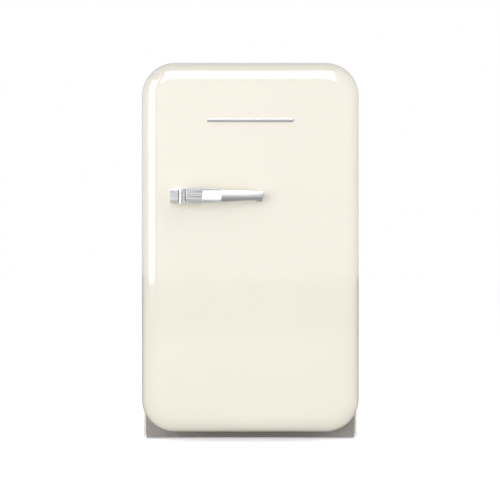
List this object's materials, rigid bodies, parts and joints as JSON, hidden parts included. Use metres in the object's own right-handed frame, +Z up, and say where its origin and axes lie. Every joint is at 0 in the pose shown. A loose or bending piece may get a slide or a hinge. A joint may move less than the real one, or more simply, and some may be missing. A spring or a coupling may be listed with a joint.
{
  "type": "mini fridge",
  "caption": "Small retro refrigerator with a domed cream door, lever handle, glass shelves, door racks and an absorption cooling unit in an open rear recess.",
  "frame": {"origin": "on the floor, centred on the width and on the whole depth, handle included", "axes": "+Z up; the door faces -Y and hangs on the +X side"},
  "size_m": [0.404, 0.536, 0.708],
  "materials": {
    "cream_enamel": "gloss",
    "white_enamel": "gloss",
    "galvanised": "satin",
    "plinth_grey": "satin",
    "liner_white": "satin",
    "foam": "matte",
    "cold_aluminium": "satin",
    "white_plastic": "satin",
    "lens": "satin",
    "board_green": "satin",
    "zinc": "satin",
    "black_enamel": "satin",
    "jacket_steel": "satin",
    "fin_steel": "satin",
    "black_plastic": "matte",
    "grey_plastic": "matte",
    "gasket_rubber": "matte",
    "handle_chrome": "polished",
    "spring_steel": "satin",
    "magnet": "satin",
    "shelf_glass": "gloss",
    "clear_plastic": "gloss"
  },
  "bodies": {
    "cabinet": {"outer_wrap": "cream_enamel", "front_flange": "white_enamel", "rear_panel": "galvanised", "base_panel": "galvanised", "base_rails": "galvanised", "plinth": "plinth_grey", "inner_liner": "liner_white", "cabinet_foam": "foam", "cold_plate": "cold_aluminium", "drip_tray": "white_plastic", "control_housing": "white_plastic", "lamp_lens": "lens", "lamp_board": "board_green", "reed_switch": "grey_plastic", "upper_cabinet_leaf": "zinc", "lower_cabinet_leaf": "zinc", "hinge_pins": "zinc", "cabinet_leaf_screws": "zinc", "foot_nuts": "galvanised", "rear_glides": "black_plastic", "boiler_jacket": "jacket_steel", "solution_tank": "black_enamel", "absorber_coil": "black_enamel", "riser_pipe": "black_enamel", "condenser_tube": "black_enamel", "condenser_fins": "fin_steel", "cold_pipes": "black_enamel", "unit_brackets": "galvanised", "drain_tube": "grey_plastic", "junction_box": "grey_plastic", "junction_cover": "grey_plastic", "cord_gland": "black_plastic", "cover_screws": "zinc", "bracket_screws": "zinc"},
    "door": {"door_skin": "cream_enamel", "door_foam": "foam", "door_liner": "liner_white", "door_gasket": "gasket_rubber", "upper_door_leaf": "zinc", "lower_door_leaf": "zinc", "door_leaf_screws": "zinc", "handle_base": "handle_chrome", "handle_pin": "zinc", "handle_screws": "zinc", "lever_spring": "spring_steel", "badge_strip": "handle_chrome", "switch_magnet": "magnet"},
    "lever": {"handle_lever": "handle_chrome", "lever_face": "handle_chrome"},
    "upper_shelf": {"upper_shelf_glass": "shelf_glass", "upper_shelf_trim": "white_plastic"},
    "lower_shelf": {"lower_shelf_glass": "shelf_glass", "lower_shelf_trim": "white_plastic"},
    "upper_door_rack": {"upper_balcony": "clear_plastic", "upper_balcony_rail": "handle_chrome"},
    "lower_door_rack": {"lower_balcony": "clear_plastic", "lower_balcony_rail": "handle_chrome"},
    "knob": {"thermostat_knob": "white_plastic"},
    "left_levelling_foot": {"left_foot": "black_plastic"},
    "right_levelling_foot": {"right_foot": "black_plastic"}
  },
  "joints": [
    {"name": "door_hinge", "type": "hinge", "parent": "cabinet", "child": "door", "pos_m": [0.198, -0.152, 0.363], "axis": [0, 0, 1], "range_deg": [0, 110]},
    {"name": "lever_pivot", "type": "hinge", "parent": "door", "child": "lever", "pos_m": [-0.1243, -0.259, 0.4579], "axis": [0, 0, -1], "range_deg": [0, 20], "stiffness_Nm_per_rad": 1.2, "springref_deg": -14.32},
    {"name": "upper_shelf_slide", "type": "slide", "parent": "cabinet", "child": "upper_shelf", "axis": [0, -1, 0], "range_m": [0, 0.08]},
    {"name": "lower_shelf_slide", "type": "slide", "parent": "cabinet", "child": "lower_shelf", "axis": [0, -1, 0], "range_m": [0, 0.08]},
    {"name": "upper_rack_lift", "type": "slide", "parent": "door", "child": "upper_door_rack", "axis": [0, 0, 1], "range_m": [0, 0.02]},
    {"name": "lower_rack_lift", "type": "slide", "parent": "door", "child": "lower_door_rack", "axis": [0, 0, 1], "range_m": [0, 0.02]},
    {"name": "knob_turn", "type": "hinge", "parent": "cabinet", "child": "knob", "pos_m": [0.045, -0.076, 0.643], "axis": [0, -1, 0], "range_deg": [0, 270]},
    {"name": "left_foot_turn", "type": "hinge", "parent": "cabinet", "child": "left_levelling_foot", "pos_m": [-0.168, -0.103, 0.02], "axis": [0, 0, 1], "continuous": true},
    {"name": "right_foot_turn", "type": "hinge", "parent": "cabinet", "child": "right_levelling_foot", "pos_m": [0.168, -0.103, 0.02], "axis": [0, 0, 1], "continuous": true}
  ]
}
